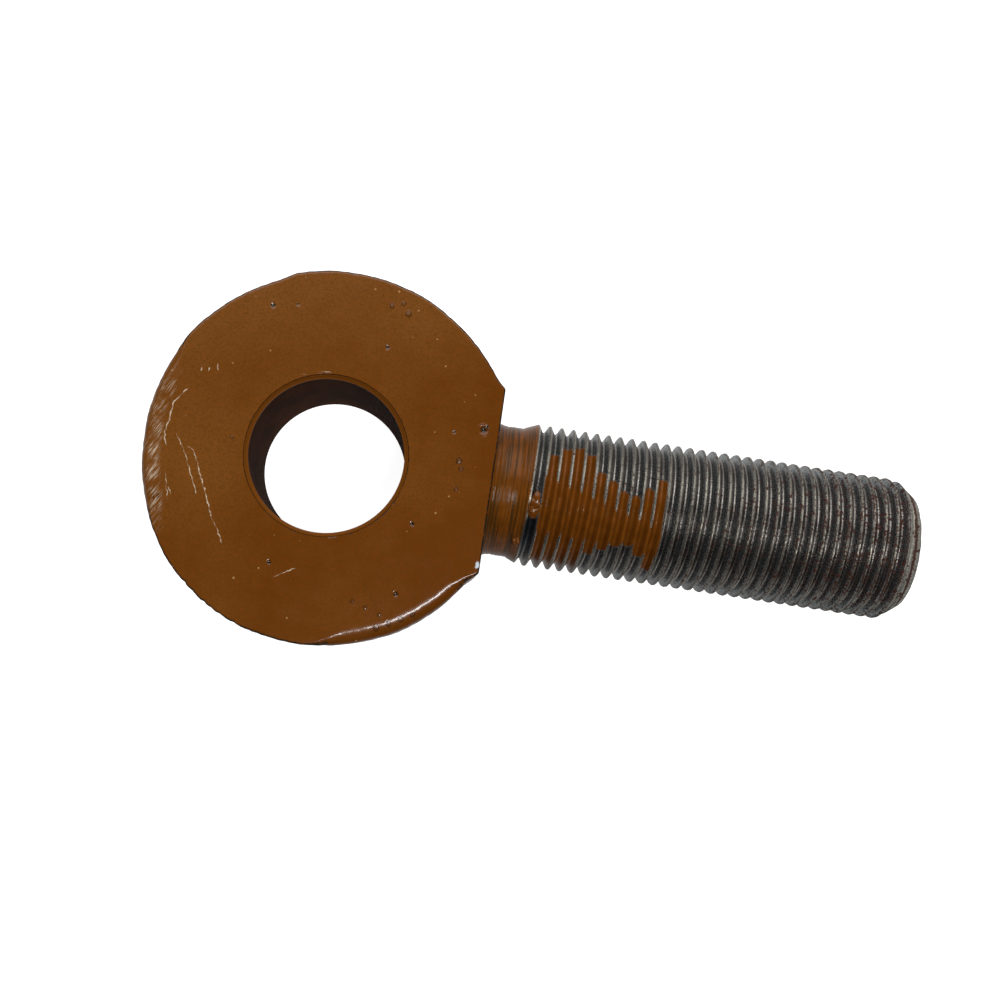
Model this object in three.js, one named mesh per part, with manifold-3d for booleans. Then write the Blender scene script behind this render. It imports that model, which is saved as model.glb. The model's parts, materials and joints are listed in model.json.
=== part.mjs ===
// Threaded rod eye: a thick round eye with a pressed-in bore bush, on a turned and threaded shank.
// Millimetres, +Z up. The part lies flat on its eye: +Z runs along the bore, +X along the shank
// towards its free end. The origin is under the middle of the overall length, on the resting face.

import * as THREE from 'three'
import { mergeVertices } from 'three/addons/utils/BufferGeometryUtils.js'
import Module from 'manifold-3d'

// ---------------------------------------------------------------- driving dimensions

// Eye, measured from the axis of its bore.
const EYE_RADIUS = 45
const EYE_THICKNESS = 36
const EYE_EDGE_ROUND = 1.0
const EYE_SEGMENTS = 80
// The round is ground down a little on the side away from the shank.
const GROUND_DEPTH = 1.5
const GROUND_FROM_ANGLE = 105

// Flat shoulder, faced square to the shank, and the lips that facing threw up at its two corners.
const SHOULDER_CUT = 5.0
const LIP_HEIGHT = 0.85
const LIP_SPREAD_ANGLE = 2.6

// Bush pressed into the eye.
const BUSH_BORE_RADIUS = 18.5
const BUSH_WALL = 1.0
const BUSH_RECESS = 0.2
const BUSH_MOUTH_CHAMFER = 0.35
const PRESS_CLEARANCE = 0.3
const HOUSING_CHAMFER = 0.3
const BORE_SEGMENTS = 56

// Left-hand metric thread.
const THREAD_MAJOR_DIAMETER = 35.94
const THREAD_PITCH = 3
const THREAD_DEPTH = 1.84
const THREAD_ROOT_FLAT = 0.6
const THREAD_FLANK_ANGLE = 30
const THREAD_FIRST_GROOVE = 8.7
const THREAD_RUNOUT_TURNS = 0.5
// How far the thread's cutter stands out of the crests, and the least width it leaves between turns.
const THREAD_CLEAR_HEIGHT = 0.3
const LEAST_CREST = 0.03
const SHANK_SEGMENTS = 20

// Shank: undercut neck, lead-in cone up to the thread, and chamfered free end.
const SHANK_LENGTH = 106.8
const NECK_UNDERCUT = 1.6
const NECK_FILLET_LENGTH = 2.4
const NECK_FILLET_HEIGHT = 0.6
const NECK_LENGTH = 6.4
const LEAD_IN_LENGTH = 3.6
const END_CHAMFER_LENGTH = 4.6
const END_CHAMFER_DEPTH = 3.4

// ---------------------------------------------------------------- derived places

const SHOULDER_X = EYE_RADIUS - SHOULDER_CUT
const END_X = SHOULDER_X + SHANK_LENGTH
const THREAD_RADIUS = THREAD_MAJOR_DIAMETER / 2
const NECK_RADIUS = THREAD_RADIUS - NECK_UNDERCUT
const BUSH_RADIUS = BUSH_BORE_RADIUS + BUSH_WALL
const HOUSING_RADIUS = BUSH_RADIUS + PRESS_CLEARANCE
const BUSH_LENGTH = EYE_THICKNESS - 2 * BUSH_RECESS
const BACK_X = EYE_RADIUS - GROUND_DEPTH
const MIDDLE_X = (END_X - BACK_X) / 2
const AXIS_HEIGHT = Math.max(EYE_THICKNESS / 2, THREAD_RADIUS)
// Length that a cutter, or a piece to be joined, runs past the face it crosses.
const OVERRUN = 2

const radians = THREE.MathUtils.degToRad

// ---------------------------------------------------------------- solids

const wasm = await Module()
wasm.setup()

/** Turns a closed geometry into a solid that can be joined and cut. */
function solidOf(geometry) {
  const bare = geometry.clone()
  bare.deleteAttribute('normal')
  bare.deleteAttribute('uv')
  const merged = mergeVertices(bare, 1e-4)
  return new wasm.Manifold(new wasm.Mesh({
    numProp: 3,
    vertProperties: new Float32Array(merged.attributes.position.array),
    triVerts: new Uint32Array(merged.index.array),
  }))
}

/** Turns a solid back into a geometry with a normal for each vertex. */
function geometryOf(solid) {
  const mesh = solid.getMesh()
  const geometry = new THREE.BufferGeometry()
  geometry.setAttribute('position', new THREE.BufferAttribute(mesh.vertProperties, 3))
  geometry.setIndex(new THREE.BufferAttribute(mesh.triVerts, 1))
  geometry.computeVertexNormals()
  return geometry
}

/** A turned solid about +X from [radius, x] points, which start and end on the axis. */
function turnedAboutX(profile, segments) {
  const points = profile.map(([radius, x]) => new THREE.Vector2(radius, x))
  return new THREE.LatheGeometry(points, segments).rotateZ(-Math.PI / 2)
}

/** A turned solid about +Z from [radius, z] points, which close or start and end on the axis. */
function turnedAboutZ(profile, segments) {
  const points = profile.map(([radius, z]) => new THREE.Vector2(radius, z))
  return new THREE.LatheGeometry(points, segments).rotateX(Math.PI / 2)
}

// ---------------------------------------------------------------- eye

/** Smooth step from 0 to 1. */
function ease(value) {
  const t = THREE.MathUtils.clamp(value, 0, 1)
  return t * t * (3 - 2 * t)
}

/** Outline of the eye: round, ground at the back, with a lip at each end of the shoulder. */
function eyeOutline() {
  const cornerAngle = THREE.MathUtils.radToDeg(Math.acos(SHOULDER_X / (EYE_RADIUS + LIP_HEIGHT)))
  const span = 360 - 2 * cornerAngle
  const points = []
  for (let step = 0; step <= EYE_SEGMENTS; step++) {
    const angle = cornerAngle + span * step / EYE_SEGMENTS
    const fromShank = Math.min(angle, 360 - angle)
    const ground = GROUND_DEPTH * ease((fromShank - GROUND_FROM_ANGLE) / (180 - GROUND_FROM_ANGLE))
    const lip = LIP_HEIGHT * Math.exp(-(((fromShank - cornerAngle) / LIP_SPREAD_ANGLE) ** 2))
    const radius = EYE_RADIUS - ground + lip
    const turn = radians(angle)
    points.push(new THREE.Vector2(radius * Math.cos(turn), radius * Math.sin(turn)))
  }
  return new THREE.Shape(points)
}

/** The eye's disc without its bore, centred on the bore axis at mid thickness. */
function eyeDisc() {
  const geometry = new THREE.ExtrudeGeometry(eyeOutline(), {
    depth: EYE_THICKNESS - 2 * EYE_EDGE_ROUND,
    bevelEnabled: true,
    bevelThickness: EYE_EDGE_ROUND,
    bevelSize: EYE_EDGE_ROUND,
    bevelOffset: -EYE_EDGE_ROUND,
    bevelSegments: 2,
  })
  return geometry.translate(0, 0, EYE_EDGE_ROUND - EYE_THICKNESS / 2)
}

/** Cutter for the bore that houses the bush, with a small chamfer at each mouth. */
function housingCutter() {
  const face = EYE_THICKNESS / 2
  const mouth = HOUSING_RADIUS + HOUSING_CHAMFER
  return turnedAboutZ([
    [0, -face - OVERRUN],
    [mouth, -face - OVERRUN],
    [mouth, -face],
    [HOUSING_RADIUS, -face + HOUSING_CHAMFER],
    [HOUSING_RADIUS, face - HOUSING_CHAMFER],
    [mouth, face],
    [mouth, face + OVERRUN],
    [0, face + OVERRUN],
  ], BORE_SEGMENTS)
}

// ---------------------------------------------------------------- shank

/** The turned shank before threading. */
function shankBlank() {
  const leadInStart = SHOULDER_X + NECK_LENGTH
  const fillet = [0, 30, 60, 90].map((angle) => {
    const turn = radians(angle)
    const radius = NECK_RADIUS + NECK_FILLET_HEIGHT * (1 - Math.sin(turn))
    return [radius, SHOULDER_X + NECK_FILLET_LENGTH * (1 - Math.cos(turn))]
  })
  return turnedAboutX([
    [0, SHOULDER_X - OVERRUN],
    [fillet[0][0], SHOULDER_X - OVERRUN],
    ...fillet,
    [NECK_RADIUS, leadInStart],
    [THREAD_RADIUS, leadInStart + LEAD_IN_LENGTH],
    [THREAD_RADIUS, END_X - END_CHAMFER_LENGTH],
    [THREAD_RADIUS - END_CHAMFER_DEPTH, END_X],
    [0, END_X],
  ], SHANK_SEGMENTS)
}

/**
 * Cutter for the thread groove: a four-sided section swept along a left-hand helix. It starts clear
 * of the metal on the +Y side beside the neck, sinks to full depth, and runs out past the free end.
 */
function threadCutter() {
  const rootRadius = THREAD_RADIUS - THREAD_DEPTH
  const height = THREAD_DEPTH + THREAD_CLEAR_HEIGHT
  const rootHalf = THREAD_ROOT_FLAT / 2
  const flankTop = rootHalf + height * Math.tan(radians(THREAD_FLANK_ANGLE))
  const topHalf = Math.min(flankTop, (THREAD_PITCH - LEAST_CREST) / 2)
  const startX = SHOULDER_X + THREAD_FIRST_GROOVE
  const turns = (END_X + THREAD_PITCH - startX) / THREAD_PITCH
  const stations = Math.ceil(turns * SHANK_SEGMENTS)
  const positions = []
  for (let station = 0; station <= stations; station++) {
    const turn = station / SHANK_SEGMENTS
    const lift = height * (1 - Math.min(1, turn / THREAD_RUNOUT_TURNS))
    const angle = -2 * Math.PI * turn
    const middle = startX + THREAD_PITCH * turn
    const section = [[-rootHalf, 0], [rootHalf, 0], [topHalf, height], [-topHalf, height]]
    for (const [along, up] of section) {
      const radius = rootRadius + lift + up
      positions.push(middle + along, radius * Math.cos(angle), radius * Math.sin(angle))
    }
  }
  const faces = [0, 1, 2, 0, 2, 3]
  for (let station = 0; station < stations; station++) {
    const here = 4 * station
    for (let corner = 0; corner < 4; corner++) {
      const next = (corner + 1) % 4
      faces.push(here + corner, here + 4 + corner, here + 4 + next)
      faces.push(here + corner, here + 4 + next, here + next)
    }
  }
  const last = 4 * stations
  faces.push(last, last + 2, last + 1, last, last + 3, last + 2)
  const geometry = new THREE.BufferGeometry()
  geometry.setAttribute('position', new THREE.Float32BufferAttribute(positions, 3))
  geometry.setIndex(faces)
  return geometry
}

/** The forging: eye, neck and threaded shank in one piece. */
function rodEye() {
  const shank = solidOf(shankBlank()).subtract(solidOf(threadCutter()))
  const eye = solidOf(eyeDisc()).subtract(solidOf(housingCutter()))
  return geometryOf(eye.add(shank))
}

// ---------------------------------------------------------------- bush

/** The thin-walled bush that lines the bore, chamfered inside at both mouths. */
function boreBush() {
  const end = BUSH_LENGTH / 2
  const mouth = BUSH_BORE_RADIUS + BUSH_MOUTH_CHAMFER
  return turnedAboutZ([
    [BUSH_RADIUS, -end],
    [BUSH_RADIUS, end],
    [mouth, end],
    [BUSH_BORE_RADIUS, end - BUSH_MOUTH_CHAMFER],
    [BUSH_BORE_RADIUS, BUSH_MOUTH_CHAMFER - end],
    [mouth, -end],
    [BUSH_RADIUS, -end],
  ], BORE_SEGMENTS)
}

// ---------------------------------------------------------------- assembly

const paint = new THREE.MeshStandardMaterial({ color: 0x7a4a17, roughness: 0.35, metalness: 0.1 })
const bushSteel = new THREE.MeshStandardMaterial({ color: 0x4a3a30, roughness: 0.45, metalness: 0.8 })

/** A named mesh, moved from the bore axis at mid thickness to the part's own frame. */
function placed(name, geometry, material) {
  const mesh = new THREE.Mesh(geometry, material)
  mesh.name = name
  mesh.position.set(-MIDDLE_X, 0, AXIS_HEIGHT)
  return mesh
}

const part = new THREE.Group()
part.add(placed('rod_eye', rodEye(), paint))
part.add(placed('bore_bush', boreBush(), bushSteel))

export default part
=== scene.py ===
"""A rod end: a thick painted eye with a pressed-in bore bush, on a left-hand threaded shank.

Sizes in the classes are millimetres. Every mesh is built in metres in the part's own frame: +Z up,
the bore upright, the shank along +X. Places on the part are given from the bore's axis.
"""

import json
import logging
import math
from dataclasses import dataclass, field
from enum import Enum
from functools import partial
from typing import Any, Callable

import bpy
import numpy as np
from mathutils import Matrix, Vector


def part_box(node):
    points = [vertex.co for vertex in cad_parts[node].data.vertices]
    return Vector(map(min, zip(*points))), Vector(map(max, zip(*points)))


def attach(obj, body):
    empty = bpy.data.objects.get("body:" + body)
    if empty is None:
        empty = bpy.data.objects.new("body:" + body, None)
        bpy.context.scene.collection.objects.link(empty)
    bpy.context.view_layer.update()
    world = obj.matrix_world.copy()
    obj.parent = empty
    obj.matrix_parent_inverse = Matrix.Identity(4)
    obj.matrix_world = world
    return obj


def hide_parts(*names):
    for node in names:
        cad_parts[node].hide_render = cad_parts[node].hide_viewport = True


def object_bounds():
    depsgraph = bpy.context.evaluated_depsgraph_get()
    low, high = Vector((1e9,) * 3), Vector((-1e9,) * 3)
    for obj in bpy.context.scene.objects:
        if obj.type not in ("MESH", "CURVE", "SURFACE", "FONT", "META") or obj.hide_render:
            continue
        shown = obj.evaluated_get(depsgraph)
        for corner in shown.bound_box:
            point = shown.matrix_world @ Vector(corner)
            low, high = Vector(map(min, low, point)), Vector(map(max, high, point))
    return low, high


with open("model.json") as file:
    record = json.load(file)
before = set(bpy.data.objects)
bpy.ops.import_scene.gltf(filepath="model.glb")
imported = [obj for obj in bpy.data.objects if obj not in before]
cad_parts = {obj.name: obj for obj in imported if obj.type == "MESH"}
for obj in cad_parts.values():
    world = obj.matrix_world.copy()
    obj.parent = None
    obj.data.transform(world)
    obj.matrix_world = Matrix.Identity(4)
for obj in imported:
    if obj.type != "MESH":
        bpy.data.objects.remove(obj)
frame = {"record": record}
CAD_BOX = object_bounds()

MM = 0.001
LOG = logging.getLogger("rod_end")

MIX = "ShaderNodeMix"
NOISE = "ShaderNodeTexNoise"
RANGE = "ShaderNodeMapRange"
MAPPING = "ShaderNodeMapping"
VECTOR = "ShaderNodeVectorMath"
SHADER = "ShaderNodeBsdfPrincipled"
BUMP = "ShaderNodeBump"
# What add_node is once its tree is given.
Adder = Callable[..., bpy.types.Node]


class Op(Enum):
    """The sums that a Math node does here."""

    ABSOLUTE = "ABSOLUTE"
    ADD = "ADD"
    ARCTAN2 = "ARCTAN2"
    COSINE = "COSINE"
    DEGREES = "DEGREES"
    DIVIDE = "DIVIDE"
    FRACT = "FRACT"
    MAXIMUM = "MAXIMUM"
    MINIMUM = "MINIMUM"
    MULTIPLY = "MULTIPLY"
    MULTIPLY_ADD = "MULTIPLY_ADD"
    POWER = "POWER"
    ROUND = "ROUND"
    SINE = "SINE"
    SMOOTH_MAX = "SMOOTH_MAX"
    SMOOTH_MIN = "SMOOTH_MIN"
    SUBTRACT = "SUBTRACT"
    WRAP = "WRAP"


class Slot(Enum):
    """The record's material slots."""

    PAINTED = "painted_steel"
    BUSH = "bush_steel"
    BARE = "bare_steel"


class MarkKind(Enum):
    """What a small mark in the enamel is."""

    PIT = "pit"
    SCRATCH = "scratch"
    BUBBLE = "bubble"
    CHIP = "chip"


def linear(code: str) -> tuple[float, float, float, float]:
    """Turns an sRGB hex colour to a linear one.

    Args:
        code: Six hex digits after a hash sign.

    Returns:
        Red, green, blue and alpha, from 0 to 1.
    """
    parts = [int(code[i : i + 2], 16) / 255 for i in (1, 3, 5)]
    levels = [c / 12.92 if c <= 0.04045 else ((c + 0.055) / 1.055) ** 2.4 for c in parts]
    return levels[0], levels[1], levels[2], 1.0


def add_node(
    tree: bpy.types.NodeTree, kind: str | Op, inputs: Any = (), **settings: Any
) -> bpy.types.Node:
    """Adds a node with its settings and links.

    Args:
        tree: The tree that gets the node.
        kind: The node's type, or the sum that a Math node does.
        inputs: Values in the order of the open sockets, or by socket name. A node or a socket is
            linked, None is left alone, a hex colour is turned to linear, and anything else is set.
        **settings: The node's own properties.

    Returns:
        The new node.
    """
    node = tree.nodes.new("ShaderNodeMath" if isinstance(kind, Op) else kind)
    if isinstance(kind, Op):
        node.operation = kind.value
    for key, value in settings.items():
        setattr(node, key, value)
    sockets = [s for s in node.inputs if s.enabled]
    for key, value in inputs.items() if isinstance(inputs, dict) else enumerate(inputs):
        socket = sockets[key] if isinstance(key, int) else node.inputs[key]
        if isinstance(value, bpy.types.Node):
            value = next(s for s in value.outputs if s.enabled)
        if isinstance(value, bpy.types.NodeSocket):
            tree.links.new(value, socket)
        elif value is not None:
            socket.default_value = linear(value) if isinstance(value, str) else value
    return node


def new_material(name: str) -> tuple[bpy.types.Material, Adder]:
    """Makes an empty material.

    Args:
        name: The material's name.

    Returns:
        The material, and what adds nodes to it.
    """
    material = bpy.data.materials.new(name)
    material.use_nodes = True
    material.node_tree.nodes.clear()
    return material, partial(add_node, material.node_tree)


def chain(add: Adder, value: Any, *steps: tuple[Any, ...]) -> bpy.types.Node:
    """Adds nodes one after another, each with the last one's value as its first input.

    Args:
        add: Adds a node to the tree.
        value: What the first step starts from.
        *steps: The kind of each node, and then its other inputs in order.

    Returns:
        The last node.
    """
    for kind, *others in steps:
        value = add(kind, (value, *others))
    return value


def lay(add: Adder, base: Any, *layers: tuple[Any, Any]) -> bpy.types.Node:
    """Lays colours over a base, one on another.

    Args:
        add: Adds a node to the material.
        base: The colour below.
        *layers: The mask and the colour of each layer.

    Returns:
        The node that gives the colour.
    """
    for mask, colour in layers:
        base = add(MIX, (mask, base, colour), data_type="RGBA")
    return base


def stack(add: Adder, base: Any, *shares: tuple[Any, float]) -> bpy.types.Node:
    """Adds a share of each of several values to a base.

    Args:
        add: Adds a node to the tree.
        base: What the shares are added to.
        *shares: Each value, and how much of it is added.

    Returns:
        The node that gives the sum.
    """
    for value, share in shares:
        base = add(Op.MULTIPLY_ADD, (value, share, base))
    return base


def add_curve(
    add: Adder, value: Any, knots: tuple[tuple[float, float], ...], span: tuple[float, float]
) -> bpy.types.Node:
    """Adds a curve that runs straight from knot to knot.

    Args:
        add: Adds a node to the tree.
        value: What the curve is read at.
        knots: Places and levels, in order of place.
        span: The least and the greatest level that the curve can hold.

    Returns:
        The node that gives the level.
    """
    low, high = knots[0][0], knots[-1][0]
    share = add(RANGE, (value, float(low), float(high), 0.0, 1.0))
    curve = add("ShaderNodeFloatCurve", {"Value": share})
    points = curve.mapping.curves[0].points
    while len(points) < len(knots):
        points.new(0.5, 0.5)
    for point, (at, level) in zip(points, knots):
        point.location = ((at - low) / (high - low), (level - span[0]) / (span[1] - span[0]))
        point.handle_type = "VECTOR"
    curve.mapping.update()
    return add(RANGE, (curve, 0.0, 1.0, span[0], span[1]))


def smooth(low: float, high: float, value: np.ndarray) -> np.ndarray:
    """Rises smoothly from 0 at low to 1 at high."""
    t = np.clip((value - low) / (high - low), 0, 1)
    return t * t * (3 - 2 * t)


def ripple(angle: np.ndarray, seed: int, orders: tuple[int, ...]) -> np.ndarray:
    """A seeded uneven wave round a circle.

    Args:
        angle: Angles in radians.
        seed: Seed of the phases.
        orders: Waves to a turn.

    Returns:
        Values of about -1 to 1.
    """
    phases = np.random.default_rng(seed).uniform(0, math.tau, len(orders))
    waves = [np.sin(n * angle + p) for n, p in zip(orders, phases)]
    return np.sum(waves, axis=0) / math.sqrt(len(orders))


def swell(x: np.ndarray, y: np.ndarray, seed: int, length: float) -> np.ndarray:
    """A seeded uneven surface over a plane.

    Args:
        x: Places along X.
        y: Places along Y.
        seed: Seed of the directions and phases.
        length: Typical wave length, in the same unit.

    Returns:
        Heights of about -1 to 1.
    """
    rng = np.random.default_rng(seed)
    total = np.zeros_like(x)
    for turn, phase, stretch in rng.uniform((0, 0, 0.7), (math.tau, math.tau, 1.6), (9, 3)):
        along = x * math.cos(turn) + y * math.sin(turn)
        total += np.sin(math.tau * along / (length * stretch) + phase)
    return total / 3


def face_out(mesh: bpy.types.Mesh) -> None:
    """Turns a closed mesh's faces outwards if they point in.

    Args:
        mesh: The mesh.
    """
    mesh.calc_loop_triangles()
    co = np.array([v.co for v in mesh.vertices], float)
    tri = np.array([t.vertices for t in mesh.loop_triangles])
    a, b, c = co[tri[:, 0]], co[tri[:, 1]], co[tri[:, 2]]
    if np.einsum("ij,ij->i", a, np.cross(b, c)).sum() < 0:
        mesh.flip_normals()


def ring_mesh(name: str, points: np.ndarray, masks: dict[str, np.ndarray]) -> bpy.types.Object:
    """Makes a closed ring-shaped mesh from a grid of points that joins up both ways.

    Args:
        name: The piece's name.
        points: Rows by columns by 3, in metres.
        masks: Values of rows by columns, by attribute name.

    Returns:
        The new object, linked to the scene.
    """
    rows, columns = points.shape[:2]
    i, j = np.meshgrid(np.arange(rows), np.arange(columns), indexing="ij")
    near, far = (j + 1) % columns, ((i + 1) % rows) * columns
    faces = np.stack([i * columns + j, i * columns + near, far + near, far + j], -1).reshape(-1, 4)
    mesh = bpy.data.meshes.new(name)
    mesh.from_pydata(points.reshape(-1, 3).tolist(), [], faces.tolist())
    for key, values in masks.items():
        layer = mesh.attributes.new(key, "FLOAT", "POINT")
        layer.data.foreach_set("value", values.reshape(-1).astype(np.float32))
    return finish_mesh(name, mesh)


def finish_mesh(name: str, mesh: bpy.types.Mesh, sharp: float = 38) -> bpy.types.Object:
    """Faces a mesh outwards, smooths it but for its sharp edges, and makes its object.

    Args:
        name: The piece's name.
        mesh: The mesh.
        sharp: Edges that turn by more degrees than this stay sharp.

    Returns:
        The new object, linked to the scene.
    """
    face_out(mesh)
    mesh.shade_smooth()
    mesh.set_sharp_from_angle(angle=math.radians(sharp))
    piece = bpy.data.objects.new(name, mesh)
    bpy.context.scene.collection.objects.link(piece)
    return piece


@dataclass(frozen=True)
class Datum:
    """Where the part's main features lie in the frame, in millimetres."""

    bore_x: float
    bore_y: float
    bottom: float
    top: float
    bush_bottom: float
    bush_top: float
    bush_outer: float
    shoulder: float
    axis_z: float
    shank_end: float
    eye_radius: float

    @classmethod
    def measured(cls, record: dict[str, Any]) -> "Datum":
        """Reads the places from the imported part.

        Args:
            record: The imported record.

        Returns:
            The part's datum.
        """
        mounts = {m["name"]: m["pos_m"] for m in record["mounts"]}
        shoulder, end = mounts["shoulder_face"], mounts["shank_end"]
        low, high = (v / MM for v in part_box("rod_eye"))
        bush_low, bush_high = (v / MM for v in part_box("bore_bush"))
        centre = (bush_low + bush_high) / 2
        return cls(
            bore_x=centre.x,
            bore_y=centre.y,
            bottom=low.z,
            top=high.z,
            bush_bottom=bush_low.z,
            bush_top=bush_high.z,
            bush_outer=(bush_high.y - bush_low.y) / 2,
            shoulder=shoulder[0] / MM - centre.x,
            axis_z=end[2] / MM,
            shank_end=high.x - centre.x,
            eye_radius=(high.y - low.y) / 2,
        )

    def measure(self, add: Adder, height: float = 0.0) -> bpy.types.Node:
        """Adds what measures a material's patterns on the part.

        Args:
            add: Adds a node to the material.
            height: Where Z is counted from.

        Returns:
            The node that gives millimetres from the bore's axis.
        """
        coords = add("ShaderNodeTexCoord").outputs["Object"]
        centre = (-self.bore_x, -self.bore_y, -height)
        return add(MAPPING, {"Vector": coords, "Location": centre, "Scale": (1 / MM,) * 3})

    def place(self, x: np.ndarray, y: np.ndarray, z: np.ndarray) -> np.ndarray:
        """Turns millimetres from the bore's axis into metres in the frame."""
        return np.stack([x + self.bore_x, y + self.bore_y, z], -1) * MM


@dataclass(frozen=True)
class Mark:
    """One mark in the top face's enamel, placed from the bore's axis.

    A round mark has only a width, which is its radius. A long one has half its width, half its
    length and its turn in degrees.
    """

    kind: MarkKind
    x: float
    y: float
    width: float
    length: float = 0.0
    turn: float = 0.0

    def height(self, x: np.ndarray, y: np.ndarray) -> np.ndarray:
        """The mark's height over the face, negative in a pit.

        Args:
            x: Places along X, from the bore's axis.
            y: Places along Y.

        Returns:
            Heights in millimetres.
        """
        if self.kind in (MarkKind.SCRATCH, MarkKind.CHIP):
            return np.zeros_like(x)
        reach = max(self.width, 0.4)
        distance = np.hypot(x - self.x, y - self.y) / reach
        if self.kind is MarkKind.BUBBLE:
            return 0.22 * reach * np.exp(-(distance**2))
        rim = 0.16 * np.exp(-(((distance - 1.5) / 0.4) ** 2))
        return reach * (rim - 0.5 * np.exp(-(distance**2)))


# Each mark's x, y and half width, and for a long one half its length and its turn.
MARKS = tuple(
    Mark(kind, *sizes)
    for kind, group in {
        MarkKind.PIT: (
            (-18.2, 33.9, 0.55), (-12.4, 35.1, 0.34), (10.4, 28.1, 0.5), (36.1, 11.7, 0.85),
            (36.9, 12.7, 0.4), (29.2, 10.1, 0.38), (22.6, -13.2, 0.48), (-9.2, -27.1, 0.48),
            (21.3, -30.2, 0.6),
        ),
        MarkKind.BUBBLE: (
            (9.9, 38.2, 0.5), (12.6, 39.2, 0.45), (14.2, 36.9, 0.6), (31.4, 3.4, 0.6),
            (32.1, 1.6, 0.45), (31.7, -3.4, 0.45), (11.5, -33.4, 0.42), (14.6, -34.4, 0.42),
            (18.2, -35.4, 0.42), (20.6, -37.4, 0.6), (23.3, -36.1, 0.55), (17.9, -38.8, 0.6),
            (26.0, -34.6, 0.5), (-22.6, 0.7, 0.35), (-37.9, -15.6, 0.6),
        ),
        MarkKind.SCRATCH: (
            (-35.7, -13.1, 0.11, 3.5, 104), (-34.9, -13.8, 0.1, 1.2, 112),
            (-32.3, 15.9, 0.15, 0.6, 90), (-30.6, 16.1, 0.16, 0.4, 90),
            (-28.7, 17.0, 0.16, 0.95, 95), (-5.3, -29.0, 0.11, 2.8, 31),
            (-8.3, 18.4, 0.14, 0.7, 22), (-3.4, 19.7, 0.12, 1.5, 9),
        ),
        MarkKind.CHIP: (
            (39.3, -20.6, 0.5, 0.9, 80),
        ),
    }.items()
    for sizes in group
)


@dataclass(frozen=True)
class Slip:
    """A crooked line that a tool cut across the top face: its places as (y, x), and half its width."""

    path: tuple[tuple[float, float], ...]
    width: float


SLIPS = (
    Slip(((-3.4, -37.5), (-0.4, -38.4), (2.6, -37.7), (5.5, -37.6), (7.3, -37.4), (10.9, -34.6)), 0.15),
    Slip(((-13.8, -28.6), (-4.5, -32.8), (-0.1, -35.7)), 0.11),
    Slip(
        (
            (-24.4, -20.8), (-22.9, -21.4), (-17.8, -24.6), (-15.9, -25.3),
            (-9.6, -28.2), (-6.6, -29.5), (-3.8, -30.9), (-2.6, -32.7),
        ),
        0.13,
    ),
)


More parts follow.
